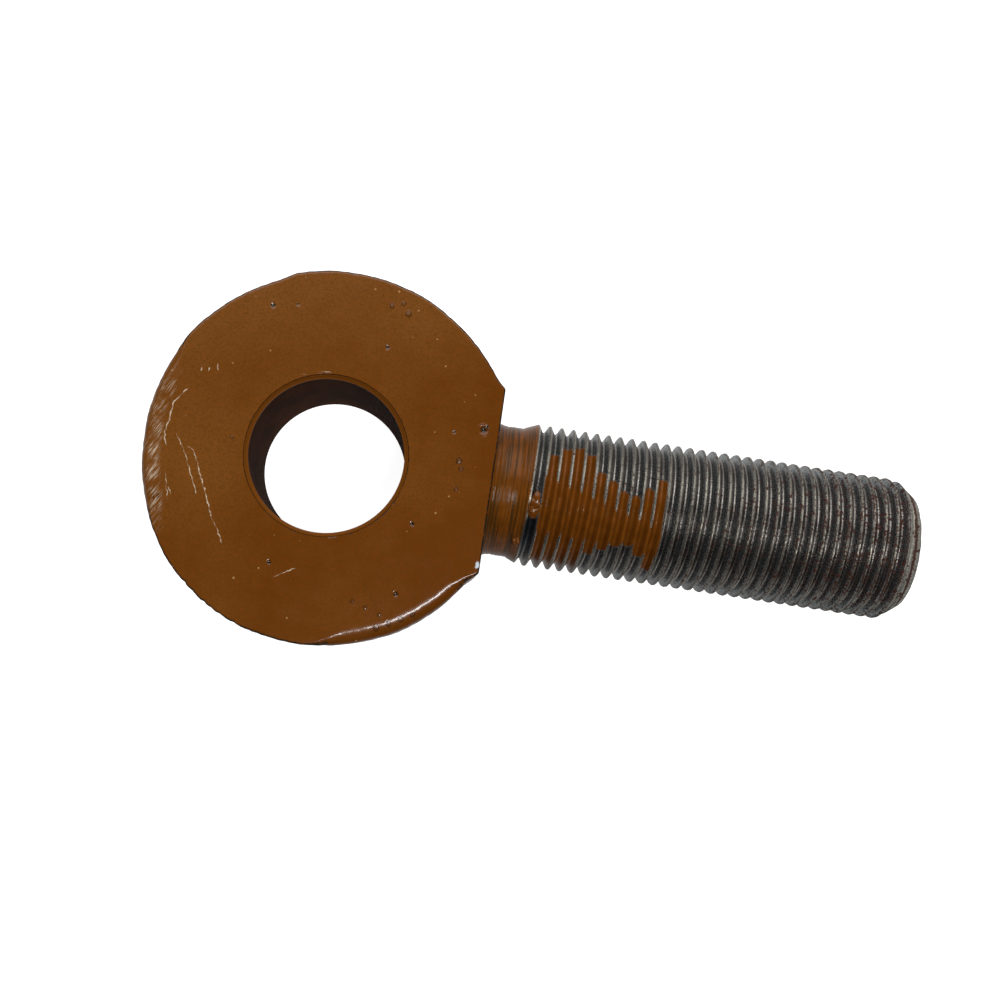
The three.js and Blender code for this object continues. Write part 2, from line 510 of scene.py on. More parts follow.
@dataclass(frozen=True)
class EyeEnamel:
    """Brown machinery enamel, brushed and dipped over a forged eye.

    It is glossy with a slight orange peel, so soft lights spread over it. It pools and pits, is
    thin and dark along sharp edges, and the ground flank shows pale slanting grinding marks,
    partly painted sheen. Painted shade darkens it towards the shank and away from +Y, inside its
    pits and round its bubbles.
    """

    name: str = "brown_machinery_enamel"
    body: str = "#784719"
    # The darker tone, where enamel lies deeper, and also the painted shade towards the shank and away
    # from +Y.
    pooled_and_shaded: str = "#673507"
    # Thin enamel on sharp edges; the same near-black is the painted shade in pits and round bubbles.
    thin: str = "#15160F"
    # Pale colour of scratches and grinding marks; on the grinding marks it is partly painted sheen.
    scraped_and_sheen: str = "#D6C6AC"
    chipped: str = "#C9D2D8"
    dust: str = "#B08A58"
    fleck: str = "#4E340C"
    roughness: float = 0.17
    sheen_level: float = 0.24
    coat: float = 0.06
    coat_roughness: float = 0.1

    def material(self, datum: Datum) -> bpy.types.Material:
        """Builds the material.

        Args:
            datum: Where the bore and the top face are.

        Returns:
            The material.
        """
        material, add = new_material(self.name)
        place = datum.measure(add)

        # Pooled paint drifts in shade over about 30 mm, and mottles over 4 mm.
        drift = add(NOISE, {"Vector": place, "Scale": 0.033, "Detail": 2.0})
        mottle = add(NOISE, {"Vector": place, "Scale": 0.25, "Detail": 4.0})
        shade = add(Op.MULTIPLY_ADD, (mottle, 0.25, drift))
        # Painted shade and sheen: the face is painted darker towards the shank and away from +Y, and
        # lighter the other way.
        painted_shade_slope = add(VECTOR, (place, (-0.0045, 0.0045, 0.0)), operation="DOT_PRODUCT")
        shade = chain(add, shade, (Op.ADD, painted_shade_slope.outputs["Value"]), (RANGE, 0.35, 0.9, 0.0, 1.0))

        # Brushed enamel is flecked where pigment gathered, half a millimetre across.
        fleck = add(NOISE, {"Vector": place, "Scale": 1.7, "Detail": 4.0, "Roughness": 0.7})
        fleck = add(RANGE, (fleck, 0.46, 0.68, 0.0, 0.6))

        pits, scratches, chips = self._marks(add, place, datum)
        wobble = add(NOISE, {"Vector": place, "Scale": 1.1, "Detail": 3.0})

        thin = add("ShaderNodeAttribute", attribute_name="thin_paint").outputs["Fac"]
        thin = chain(add, thin, (Op.MULTIPLY, wobble), (RANGE, 0.3, 0.46, 0.0, 1.0))
        # The pits' dark cores and the rings round bubbles are painted shade, in the thin edges' colour.
        dark = add(Op.MAXIMUM, (thin, pits))

        # Grinding marks lie about 60 degrees to the shank, half a millimetre apart. Their pale colour
        # is partly painted sheen, where the ground bevel catches the light.
        turned = (0, 0, math.radians(62))
        sizes = {"Vector": place, "Rotation": turned, "Scale": (2.6, 0.13, 8.0)}
        slant = add(MAPPING, sizes, vector_type="TEXTURE")
        streak = add(NOISE, {"Vector": slant, "Scale": 1.0, "Detail": 4.0})
        ground = add("ShaderNodeAttribute", attribute_name="ground").outputs["Fac"]
        streak = add(RANGE, (streak, 0.53, 0.63, 0.0, 0.7))
        patch = add(NOISE, {"Vector": place, "Scale": 0.22, "Detail": 1.0})
        patch = add(RANGE, (patch, 0.4, 0.56, 0.2, 1.0))
        ground = add(Op.MULTIPLY, (ground, patch))
        scraped_and_sheen = chain(add, streak, (Op.MULTIPLY, ground), (Op.MAXIMUM, scratches))

        # Dust that dried in the enamel: grains a quarter of a millimetre across, 3 mm apart.
        grains = add("ShaderNodeTexVoronoi", {"Vector": place, "Scale": 0.36})
        chosen = add("ShaderNodeSeparateXYZ", (grains.outputs["Color"],)).outputs["X"]
        size = add(RANGE, (chosen, 0.55, 1.0, 0.0, 0.12))
        grains = add(Op.SUBTRACT, (size, grains.outputs["Distance"]))
        grains = add(RANGE, (grains, 0.0, 0.03, 0.0, 0.7))
        colour = lay(
            add, self.pooled_and_shaded, (shade, self.body), (fleck, self.fleck), (dark, self.thin),
            (scraped_and_sheen, self.scraped_and_sheen), (chips, self.chipped), (grains, self.dust)
        )

        gloss = add(RANGE, (mottle, 0.3, 0.7, self.roughness - 0.02, self.roughness + 0.02))
        gloss = stack(add, gloss, (scraped_and_sheen, 0.22), (thin, 0.4))

        # Orange peel is about 1.6 mm across; dust and brush grain are a third of a millimetre.
        peel = add(NOISE, {"Vector": place, "Scale": 0.6, "Detail": 2.0})
        grain = add(NOISE, {"Vector": place, "Scale": 2.8, "Detail": 3.0})
        relief = stack(add, peel, (grain, 0.16), (dark, -0.9), (scraped_and_sheen, -0.4), (grains, 0.5))
        bump = add(BUMP, {"Strength": 0.35, "Distance": 0.00007, "Height": relief})
        shader = add(SHADER, {
            "Base Color": colour, "Roughness": gloss, "Normal": bump, "Metallic": 0.0,
            "IOR": 1.5, "Specular IOR Level": self.sheen_level, "Coat Weight": self.coat,
            "Coat Roughness": self.coat_roughness,
        })
        add("ShaderNodeOutputMaterial", {"Surface": shader})
        return material

    def _marks(self, add: Adder, place: bpy.types.Node, datum: Datum) -> tuple[Any, Any, Any]:
        """Adds the marks of the top face: pits, bubbles, scratches, chips and slips.

        Args:
            add: Adds a node to the material.
            place: The node that gives millimetres from the bore's axis.
            datum: Where the top face is.

        Returns:
            The masks of the painted shade in pits and round bubbles, of the scratches and of the chips.
        """
        jitter = add(NOISE, {"Vector": place, "Scale": 0.9, "Detail": 2.0}).outputs["Color"]
        jitter = add(VECTOR, (jitter, (0.5, 0.5, 0.5)), operation="SUBTRACT")
        jitter = add(VECTOR, (jitter, (0.8, 0.8, 0.0), place), operation="MULTIPLY_ADD")
        masks: dict[MarkKind, Any] = {MarkKind.PIT: 0.0, MarkKind.SCRATCH: 0.0, MarkKind.CHIP: 0.0}
        for mark in MARKS:
            kind = mark.kind
            if kind in (MarkKind.PIT, MarkKind.BUBBLE):
                spot = (mark.x, mark.y, datum.top)
                reach = add(VECTOR, (jitter, spot), operation="DISTANCE").outputs["Value"]
                bounds = (mark.width * 1.1, mark.width * 0.6)
            else:
                local = add(MAPPING, {
                    "Vector": jitter,
                    "Location": (mark.x, mark.y, datum.top),
                    "Rotation": (0, 0, math.radians(mark.turn)),
                    "Scale": (mark.length, mark.width, 4.0),
                }, vector_type="TEXTURE")
                reach = add(VECTOR, (local,), operation="LENGTH").outputs["Value"]
                bounds = (1.1, 0.6)
            if kind is MarkKind.BUBBLE:
                # Painted shade: a dark ring is painted round a bubble's foot.
                kind = MarkKind.PIT
                reach = chain(add, reach, (Op.SUBTRACT, mark.width), (Op.ABSOLUTE,))
                bounds = (mark.width * 0.5, mark.width * 0.1)
            mask = add(RANGE, (reach, *bounds, 0.0, 1.0 if kind is mark.kind else 0.6))
            masks[kind] = add(Op.MAXIMUM, (mask, masks[kind]))
        x, y, _ = add("ShaderNodeSeparateXYZ", (jitter,)).outputs
        for slip in SLIPS:
            low, high = slip.path[0][0], slip.path[-1][0]
            across = add_curve(add, y, slip.path, (-45.0, 0.0))
            across = chain(
                add, x, (Op.SUBTRACT, across), (Op.ABSOLUTE,),
                (RANGE, slip.width * 1.2, slip.width * 0.6, 0.0, 1.0)
            )
            ends = chain(
                add, y, (Op.SUBTRACT, (low + high) / 2), (Op.ABSOLUTE,),
                (RANGE, (high - low) / 2, (high - low) / 2 - 0.6, 0.0, 1.0)
            )
            mask = add(Op.MULTIPLY, (across, ends))
            masks[MarkKind.SCRATCH] = add(Op.MAXIMUM, (mask, masks[MarkKind.SCRATCH]))
        breaks = add(NOISE, {"Vector": place, "Scale": 0.8, "Detail": 2.0})
        breaks = add(RANGE, (breaks, 0.4, 0.6, 0.12, 0.8))
        scratches = add(Op.MULTIPLY, (masks[MarkKind.SCRATCH], breaks))
        return masks[MarkKind.PIT], scratches, masks[MarkKind.CHIP]


@dataclass(frozen=True)
class BushEnamel:
    """Turned steel liner under a thin coat of the same brown enamel.

    The wall is turned, so fine rings show through; oil and dust leave it darker in patches, and it
    is duller than the lip. Below the lip the wall is painted darker as painted shade inside the bore.
    """

    name: str = "painted_turned_liner"
    lip: str = "#6B3C0F"
    # The wall's colour is darker than the lip's: painted shade inside the bore.
    wall: str = "#4B2811"
    soiled: str = "#2E1C12"
    feed: float = 0.7
    sheen_level: float = 0.04

    def material(self, datum: Datum) -> bpy.types.Material:
        """Builds the material.

        Args:
            datum: Where the bush is.

        Returns:
            The material.
        """
        material, add = new_material(self.name)
        place = datum.measure(add)
        height = add("ShaderNodeSeparateXYZ", (place,)).outputs["Z"]
        soil = add(NOISE, {"Vector": place, "Scale": 0.12, "Detail": 5.0})
        soil = add(RANGE, (soil, 0.42, 0.68, 0.0, 0.8))
        # Painted shade: below the chamfered lip the bore wall takes the darker wall colour.
        lip = add(RANGE, (height, datum.bush_top - 1.3, datum.bush_top - 0.6, 0.0, 1.0))
        colour = lay(add, self.wall, (soil, self.soiled), (lip, self.lip))
        rings = chain(add, height, (Op.MULTIPLY, math.tau / self.feed), (Op.SINE,))
        peel = add(NOISE, {"Vector": place, "Scale": 0.9, "Detail": 3.0})
        relief = add(Op.MULTIPLY_ADD, (rings, 0.18, peel))
        bump = add(BUMP, {"Strength": 0.5, "Distance": 0.00008, "Height": relief})
        gloss = add(RANGE, (lip, 0.0, 1.0, 0.72, 0.32))
        shader = add(SHADER, {
            "Base Color": colour, "Roughness": gloss, "Normal": bump, "Metallic": 0.0,
            "IOR": 1.5, "Specular IOR Level": self.sheen_level,
        })
        add("ShaderNodeOutputMaterial", {"Surface": shader})
        return material


@dataclass(frozen=True)
class ShankPlace:
    """The nodes that say where a point of the shank is, and the noises that it shares."""

    place: Any  # millimetres from the bore's and the shank's axes
    x: Any  # millimetres along
    around: Any  # degrees round from +Z towards +Y
    radius: Any  # millimetres from the shank's axis
    phase: Any  # turns of the groove, whole in its root
    fine: Any
    coarse: Any


@dataclass(frozen=True)
class ThreadSteel:
    """Rolled carbon-steel thread, oiled and half rusted, with enamel run over its first turns.

    The bare steel is greasy in the grooves and rubbed bright at the crests. Its colour across each
    pitch also holds painted light and shade: a painted highlight on the lap beside each crest, and
    the flank facing +X painted darker than the flank facing -X. Rust freckles it more towards the
    free end. The enamel lies in the grooves and leaves crests bare.
    """

    name: str = "oiled_thread_steel"
    # Once across a pitch, from one crest to the next: crest, lap, flank, root, flank. Partly the
    # steel's own grease and wear and partly painted light and shade: a painted highlight on the lap,
    # the flank facing +X painted darker and the flank facing -X lighter.
    across: tuple[tuple[float, str], ...] = (
        (0.0, "#6A675E"), (0.05, "#827D73"), (0.1, "#BDB8AE"), (0.15, "#A39D94"), (0.2, "#584C45"),
        (0.34, "#4B4846"), (0.5, "#5C5957"), (0.55, "#8F8A84"), (0.6, "#76716C"), (0.66, "#798081"),
        (0.76, "#7E8384"), (0.84, "#828484"), (0.93, "#64625D"), (1.0, "#6A675E"),
    )
    chamfer: str = "#908E84"
    rust: str = "#3C190C"
    shadow: str = "#4A4E52"
    turned: str = "#33250F"
    enamel: str = "#744010"
    enamel_pooled: str = "#64370B"
    chamfer_from: float = 142.8
    rust_line: float = 144.9
    sheen_level: float = 0.11
    enamel_roughness: float = 0.09
    # Where the enamel stops in each turn of the groove: degrees round from +Z towards +Y.
    upper_limit: tuple[float, ...] = (-180, -5, 34, 43, 47, 40, 23, 17, 9, 7, 15, 27, -180)
    lower_limit: tuple[float, ...] = (
        -180, -23, -180, -180, -180, -180, -55, -48, -42, -40, -49, -64, -180,
    )

    def material(self, datum: Datum, thread: "ThreadForm") -> bpy.types.Material:
        """Builds the material.

        Args:
            datum: Where the shank is.
            thread: The thread's sizes.

        Returns:
            The material.
        """
        material, add = new_material(self.name)
        place = datum.measure(add, datum.axis_z)
        x, y, z = add("ShaderNodeSeparateXYZ", (place,)).outputs
        radius = add("ShaderNodeCombineXYZ", (0.0, y, z))
        radius = add(VECTOR, (radius,), operation="LENGTH").outputs["Value"]
        around = chain(add, y, (Op.ARCTAN2, z), (Op.DEGREES,))

        fine = add(NOISE, {"Vector": place, "Scale": 2.2, "Detail": 4.0, "Roughness": 0.65})
        coarse = add(NOISE, {"Vector": place, "Scale": 0.35, "Detail": 4.0})

        # Turns of the groove counted along the shank, so that whole numbers lie in its root.
        turn = chain(add, z, (Op.ARCTAN2, y), (Op.DIVIDE, math.tau))
        phase = chain(add, x, (Op.SUBTRACT, thread.groove), (Op.DIVIDE, thread.pitch), (Op.ADD, turn))

        at = ShankPlace(place, x, around, radius, phase, fine, coarse)
        steel = self._bare(add, at, thread)
        mask = self._enamel_mask(add, at, thread)

        shade = add(RANGE, (coarse, 0.35, 0.65, 0.0, 1.0))
        # Uneven dark lines about half a millimetre wide run round the neck along its turning marks.
        lines = add(VECTOR, (place, (2.6, 0.06, 0.06)), operation="MULTIPLY")
        lines = add(NOISE, {"Vector": lines, "Scale": 1.0, "Detail": 3.0, "Roughness": 0.6})
        lines = add(RANGE, (lines, 0.46, 0.6, 0.0, 0.8))
        on_neck = add(RANGE, (phase, 0.6, 0.9, 1.0, 0.15))
        lines = add(Op.MULTIPLY, (lines, on_neck))
        enamel = lay(add, self.enamel_pooled, (shade, self.enamel), (lines, self.turned))
        colour = lay(add, steel["colour"], (mask, enamel))
        metal = chain(add, 1.0, (Op.SUBTRACT, mask), (Op.MULTIPLY, steel["metal"]))
        gloss = add(MIX, (mask, steel["gloss"], self.enamel_roughness), data_type="FLOAT")
        relief = add(Op.MULTIPLY_ADD, (mask, 1.1, fine))
        bump = add(BUMP, {"Strength": 0.7, "Distance": 0.0001, "Height": relief})
        shader = add(SHADER, {
            "Base Color": colour, "Metallic": metal, "Roughness": gloss, "Normal": bump,
            "Specular IOR Level": self.sheen_level,
        })
        add("ShaderNodeOutputMaterial", {"Surface": shader})
        return material

    def _bare(self, add: Adder, at: ShankPlace, thread: "ThreadForm") -> dict[str, Any]:
        """Adds the bare steel: grease, rubbed crests and rust, with painted light and shade across each
        pitch and painted shade where the groove begins.

        Args:
            add: Adds a node to the material.
            at: Where a point of the shank is.
            thread: The thread's sizes.

        Returns:
            The colour, metallic share and roughness, by name.
        """
        # The ramp across each pitch holds painted light and shade over the steel's own tone.
        across = chain(add, at.phase, (Op.ADD, 0.5), (Op.FRACT,))
        ramp = add("ShaderNodeValToRGB", {"Fac": across})
        while len(ramp.color_ramp.elements) < len(self.across):
            ramp.color_ramp.elements.new(0.5)
        for element, (share, code) in zip(ramp.color_ramp.elements, self.across):
            element.position, element.color = share, linear(code)
        crest = chain(add, across, (Op.SUBTRACT, 0.5), (Op.ABSOLUTE,), (RANGE, 0.34, 0.42, 0.0, 1.0))
        grit = add(NOISE, {"Vector": at.place, "Scale": 3.4, "Detail": 3.0, "Roughness": 0.7})
        speckle = add(RANGE, (grit, 0.36, 0.64, 0.35, 1.6))
        knocked = add("ShaderNodeCombineXYZ", (speckle, speckle, speckle))
        # The rolls drew fine lines along the groove, a quarter of a millimetre apart.
        drawn = add(Op.MULTIPLY, (at.phase, 12.0))
        drawn = add(NOISE, {"W": drawn, "Scale": 1.0, "Detail": 2.0}, noise_dimensions="1D")
        drawn = add(RANGE, (drawn.outputs["Fac"], 0.35, 0.65, 0.7, 1.3))
        speckle = add(Op.MULTIPLY, (speckle, drawn))
        shade = add("ShaderNodeCombineXYZ", (speckle, speckle, speckle))
        colour = add(VECTOR, (ramp.outputs["Color"], shade), operation="MULTIPLY")

        # Painted shade: where the groove begins, below the first drop of enamel, the steel is painted
        # plain and dark.
        below = add(RANGE, (at.around, -27.0, -24.0, 0.9, 0.0))
        fade = add(RANGE, (at.around, -66.0, -50.0, 0.25, 1.0))
        first = add(RANGE, (at.phase, 1.45, 1.6, 1.0, 0.0))
        first = chain(add, first, (Op.MULTIPLY, below), (Op.MULTIPLY, fade))

        # The chamfer was left pale by sawing and knocks, with a line of rust where the thread ends.
        bare_end = add(Op.MULTIPLY_ADD, (at.coarse, 1.2, at.x))
        bare_end = add(RANGE, (bare_end, self.chamfer_from + 0.5, self.chamfer_from + 0.9, 0.0, 0.85))
        pale = add(VECTOR, (linear(self.chamfer)[:3], knocked), operation="MULTIPLY")

        spots = add(NOISE, {"Vector": at.place, "Scale": 1.5, "Detail": 4.0, "Roughness": 0.6})
        spread = add(RANGE, (at.x, 60.0, thread.end, 0.0, 0.13))
        near_line = chain(
            add, at.x, (Op.SUBTRACT, self.rust_line), (Op.ABSOLUTE,), (RANGE, 0.2, 0.6, 0.32, 0.0)
        )
        spots = chain(add, spots, (Op.ADD, spread), (Op.ADD, near_line))
        patches = stack(add, spots, (crest, 0.04), (at.coarse, 0.35), (bare_end, -0.06))
        rust = add(RANGE, (patches, 0.842, 0.857, 0.0, 0.92))
        colour = lay(add, colour, (first, self.shadow), (bare_end, pale), (rust, self.rust))

        metal = add(RANGE, (crest, 0.0, 1.0, 0.92, 0.75))
        metal = add(MIX, (bare_end, metal, 0.3), data_type="FLOAT")
        shine = add(RANGE, (rust, 0.0, 0.9, 1.0, 0.08))
        metal = add(Op.MULTIPLY, (metal, shine))
        gloss = add(RANGE, (grit, 0.3, 0.7, 0.14, 0.42))
        gloss = stack(add, gloss, (crest, 0.03), (bare_end, 0.14), (rust, 0.4))
        return {"colour": colour, "metal": metal, "gloss": gloss}

    def _enamel_mask(self, add: Adder, at: ShankPlace, thread: "ThreadForm") -> Any:
        """Adds the enamel's mask: all of the neck, and then each groove as far round as the enamel
        reached.

        Args:
            add: Adds a node to the material.
            at: Where a point of the shank is.
            thread: The thread's sizes.

        Returns:
            The mask, 1 where there is enamel.
        """
        # Which turn of the groove a point is in, so that each run of enamel ends square.
        number = add(Op.ROUND, (at.phase,))
        aside = add(Op.SUBTRACT, (at.phase, number))
        aside = add(Op.MULTIPLY, (aside, aside))

        ragged = add(Op.MULTIPLY_ADD, (at.fine, 5.0, -2.5))
        here = add(Op.ADD, (at.around, ragged))
        upper = add_curve(add, number, tuple(enumerate(self.upper_limit)), (-180.0, 180.0))
        lower = add_curve(add, number, tuple(enumerate(self.lower_limit)), (-180.0, 180.0))
        under = add(Op.SUBTRACT, (upper, here))
        over = add(Op.SUBTRACT, (here, lower))
        inside = add(Op.MINIMUM, (under, over))
        inside = add(Op.MULTIPLY_ADD, (aside, -34.0, inside))
        run = add(RANGE, (inside, -0.7, 0.7, 0.0, 1.0))

        # Crests show through, except where the enamel was thickest.
        middle = add(Op.MULTIPLY_ADD, (at.phase, -1.9, -9.0))
        reach = add(Op.MULTIPLY_ADD, (at.phase, -1.2, 17.1))
        thick = chain(add, at.around, (Op.SUBTRACT, middle), (Op.ABSOLUTE,), (Op.SUBTRACT, reach))
        cover = add(RANGE, (thick, 12.0, -2.0, 0.0, 0.55))
        cover = stack(add, cover, (at.coarse, 0.35), (at.fine, 0.3))
        level = add(Op.MULTIPLY_ADD, (cover, 1.1, thread.crest_radius - 0.6))
        filled = chain(add, level, (Op.SUBTRACT, at.radius), (RANGE, -0.05, 0.05, 0.0, 1.0))
        run = add(Op.MULTIPLY, (run, filled))

        neck = chain(add, at.fine, (Op.MULTIPLY_ADD, 0.12, at.phase), (RANGE, 0.53, 0.58, 1.0, 0.0))
        return add(Op.MAXIMUM, (neck, run))


@dataclass(frozen=True)
class StudioPaper:
    """Matt white studio paper, lit from behind as well, so that only a faint shadow shows."""

    name: str = "white_studio_paper"
    colour: str = "#C4C4C4"
    glow: float = 0.95
    bounce: float = 0.1

    def material(self) -> bpy.types.Material:
        """Builds the material.

        Returns:
            The material.
        """
        material, add = new_material(self.name)
        seen = add("ShaderNodeLightPath").outputs["Is Camera Ray"]
        glow = add(RANGE, (seen, 0.0, 1.0, self.bounce, self.glow))
        shader = add(SHADER, {
            "Base Color": linear(self.colour), "Roughness": 0.9, "Specular IOR Level": 0.1,
            "Emission Color": (1, 1, 1, 1), "Emission Strength": glow,
        })
        add("ShaderNodeOutputMaterial", {"Surface": shader})
        return material


@dataclass
class Eye:
    """The forged eye: a thick disc with a bore, a flat shoulder and a ground flank."""

    datum: Datum
    finish: EyeEnamel = field(default_factory=EyeEnamel)
    columns: int = 880
    seat_clearance: float = 0.03
    mouth: float = 0.1
    edge: float = 0.7
    soft_edge: float = 3.7
    soft_sag: float = 0.55
    ground_bevel: float = 2.4
    lip: float = 0.85
    lip_spread: float = 2.6
    # Degrees round where the top edge is rubbed soft, is ground off, shows grinding marks, is rough.
    soft_span: tuple[float, ...] = (272, 288, 318, 331)
    bevel_span: tuple[float, ...] = (146, 158, 200, 212)
    ground_span: tuple[float, ...] = (156, 172, 206, 216)
    rough_span: tuple[float, ...] = (225, 232, 255, 262)
    # The flank that was ground after forging: degrees round, and the radius left there.
    ground: tuple[tuple[float, float], ...] = (
        (108, 45.0), (113.5, 44.05), (135, 43.95), (158, 43.6),
        (184, 43.42), (205, 43.8), (222, 44.3), (250, 45.0),
    )

    def _corner(self) -> float:
        """Radians from the shank's axis to each end of the shoulder."""
        return math.acos(self.datum.shoulder / (self.datum.eye_radius + self.lip))

    def _angles(self) -> np.ndarray:
        """Spaces the columns, with one exactly at each end of the shoulder.

        Returns:
            Angles in radians.
        """
        corner = self._corner()
        front = self.columns // 6
        straight = np.linspace(-corner, corner, front, endpoint=False)
        round_back = np.linspace(corner, math.tau - corner, self.columns - front, endpoint=False)
        return np.concatenate([straight, round_back])

    def _outline(self, angle: np.ndarray) -> np.ndarray:
        """Shapes the outer radius, with lips thrown up at the shoulder's ends.

        Args:
            angle: Angles in radians.

        Returns:
            Radii in millimetres.
        """
        degrees = np.degrees(angle) % 360
        knots, radii = np.array(self.ground).T
        radius = np.interp(degrees, knots, radii)
        corner = math.degrees(self._corner())
        away = np.minimum(np.abs(degrees - corner), np.abs(degrees - 360 + corner))
        radius = radius + self.lip * np.exp(-((away / self.lip_spread) ** 2))
        radius = radius + 0.07 * ripple(angle, 11, (5, 9, 14, 23))
        radius = radius + 0.035 * ripple(angle, 12, (41, 67, 90, 121))
        rough = self._between(angle, self.rough_span)
        radius = radius - 0.16 * rough * np.clip(ripple(angle, 13, (71, 97, 133)), 0, 1)
        straight = self.datum.shoulder / np.maximum(np.cos(angle), 0.2)
        return np.minimum(radius, np.where(np.cos(angle) > 0.3, straight, radius))

    def _edge_size(self, angle: np.ndarray) -> np.ndarray:
        """How wide the top edge is rounded.

        Args:
            angle: Angles in radians.

        Returns:
            Widths in millimetres.
        """
        soft, ground = self._between(angle, self.soft_span), self._between(angle, self.bevel_span)
        return self.edge + (self.soft_edge - self.edge) * soft + (self.ground_bevel - self.edge) * ground

    def _between(self, angle: np.ndarray, span: tuple[float, ...]) -> np.ndarray:
        """How far inside a span of degrees each angle is, from 0 to 1.

        Args:
            angle: Angles in radians.
            span: Degrees where it starts to rise, is full, starts to fall and is gone.

        Returns:
            Values of 0 to 1.
        """
        degrees = np.degrees(angle) % 360
        return smooth(span[0], span[1], degrees) * smooth(span[3], span[2], degrees)

    def build(self) -> list[bpy.types.Object]:
        """Builds the eye and dresses it.

        Returns:
            The eye, alone in a list.
        """
        d = self.datum
        angle = self._angles()
        outer, rounding = self._outline(angle), self._edge_size(angle)
        drop = rounding * (1 - (1 - self.soft_sag) * self._between(angle, self.soft_span))
        inner = np.full_like(angle, d.bush_outer + self.seat_clearance)
        rows: list[tuple[np.ndarray, np.ndarray, np.ndarray, float]] = []

        def row(radius: np.ndarray, height: Any, thin: Any = 0.0, ground: float = 0.0) -> None:
            """Adds one row of the section."""
            rows.append((radius, height + np.zeros_like(radius), thin + np.zeros_like(radius), ground))

        for share in (0.0, 0.5, 1.0):
            row(inner, d.bottom + self.mouth + (d.top - d.bottom - 2 * self.mouth) * share, 1.0)
        face_in, face_end = inner + self.mouth, outer - rounding
        # The seam with the bush shows as a dark line round the mouth, strongest in front, towards the
        # shank, and faint at the back.
        seam = 0.62 + 0.38 * np.cos(angle + math.radians(25)) + 0.2 * ripple(angle, 14, (5, 11, 19, 37))
        for share in np.linspace(0, 1, 62):
            thin = max(0.0, 0.72 - share * 40)
            grind = float(smooth(0.88, 0.94, share))
            row(face_in + (face_end - face_in) * share, d.top, seam * thin, grind)
        sharp = 1 - 0.6 * self._between(angle, self.soft_span)
        sharp -= 0.5 * self._between(angle, self.bevel_span)
        for turn in np.linspace(0, math.pi / 2, 9)[1:]:
            thin = float(smooth(0.1, 0.7, turn))
            lift = drop * (1 - math.cos(turn))
            row(face_end + rounding * math.sin(turn), d.top - lift, thin * sharp, 1 - 0.7 * thin)
        side_top, side_bottom = d.top - drop, d.bottom + self.edge
        for depth, thin in ((0.3, 0.85), (0.7, 0.5), (1.2, 0.0)):
            row(outer, side_top - depth, thin * sharp)
        for share in np.linspace(0, 1, 12)[1:-1]:
            row(outer, side_top - 1.2 + (side_bottom - side_top + 1.2) * share)
        for turn in np.linspace(math.pi / 2, 0, 6):
            row(outer - self.edge * (1 - math.sin(turn)), d.bottom + self.edge * (1 - math.cos(turn)))
        for share in np.linspace(1, 0, 12)[1:]:
            row(face_in + (outer - self.edge - face_in) * share, d.bottom)

        radius = np.array([r[0] for r in rows])
        height = np.array([r[1] for r in rows])
        thin = np.array([r[2] for r in rows])
        ground = np.array([np.full_like(angle, r[3]) for r in rows])
        ground *= self._between(angle, self.ground_span)
        x, y = radius * np.cos(angle), radius * np.sin(angle)

        on_top = smooth(d.top - 0.05, d.top, height)
        relief = 0.022 * swell(x, y, 3, 17) + 0.009 * swell(x, y, 4, 6)
        for mark in MARKS:
            relief = relief + mark.height(x, y)
        height = height + relief * on_top
        side = (height > d.bottom + 2) & (height < d.top - 2)
        bow = 0.05 * ripple(angle, 21, (7, 13, 29)) * np.sin(height * 0.9)
        x, y = x + side * bow * np.cos(angle), y + side * bow * np.sin(angle)

        piece = ring_mesh("eye", d.place(x, y, height), {"thin_paint": thin, "ground": ground})
        piece.data.materials.append(self.finish.material(d))
        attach(piece, "root")
        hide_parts("rod_eye")
        return [piece]


@dataclass
class BoreBush:
    """The turned liner pressed into the eye, with its mouths chamfered inwards."""

    datum: Datum
    finish: BushEnamel = field(default_factory=BushEnamel)
    columns: int = 240
    wall: float = 1.0
    chamfer: float = 0.78
    chamfer_depth: float = 0.55
    outer_chamfer: float = 0.12

    def build(self) -> list[bpy.types.Object]:
        """Builds the bush and dresses it.

        Returns:
            The bush, alone in a list.
        """
        d = self.datum
        outer = d.bush_outer
        inner = outer - self.wall
        low, high = d.bush_bottom, d.bush_top
        section = [(outer, low + self.outer_chamfer), (outer, high - self.outer_chamfer)]
        section.append((outer - self.outer_chamfer, high))
        for share in np.linspace(0, 1, 7):
            lean = share + 0.12 * math.sin(math.pi * share)
            sunk = high - self.chamfer_depth * min(lean, 1.0)
            section.append((inner + self.chamfer * (1 - share), sunk))
        wall_top, wall_bottom = high - self.chamfer_depth - 0.15, low + self.chamfer_depth
        for share in np.linspace(0, 1, 40):
            section.append((inner, wall_top + (wall_bottom - wall_top) * share))
        section.append((inner + self.chamfer, low))
        section.append((outer - self.outer_chamfer, low))

        angle = np.linspace(0, math.tau, self.columns, endpoint=False)
        radius, height = (np.array(section)[:, k, None] + np.zeros_like(angle) for k in (0, 1))
        wall = (height < high - 1) & (height > low + 1) & (radius < inner + 0.01)
        radius = radius - wall * 0.02 * (1 + ripple(angle, 31, (3, 7, 12))) * np.sin(height * 1.3) ** 2
        x, y = radius * np.cos(angle), radius * np.sin(angle)
        piece = ring_mesh("bore_liner", d.place(x, y, height), {})
        piece.data.materials.append(self.finish.material(d))
        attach(piece, "root")
        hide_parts("bore_bush")
        return [piece]


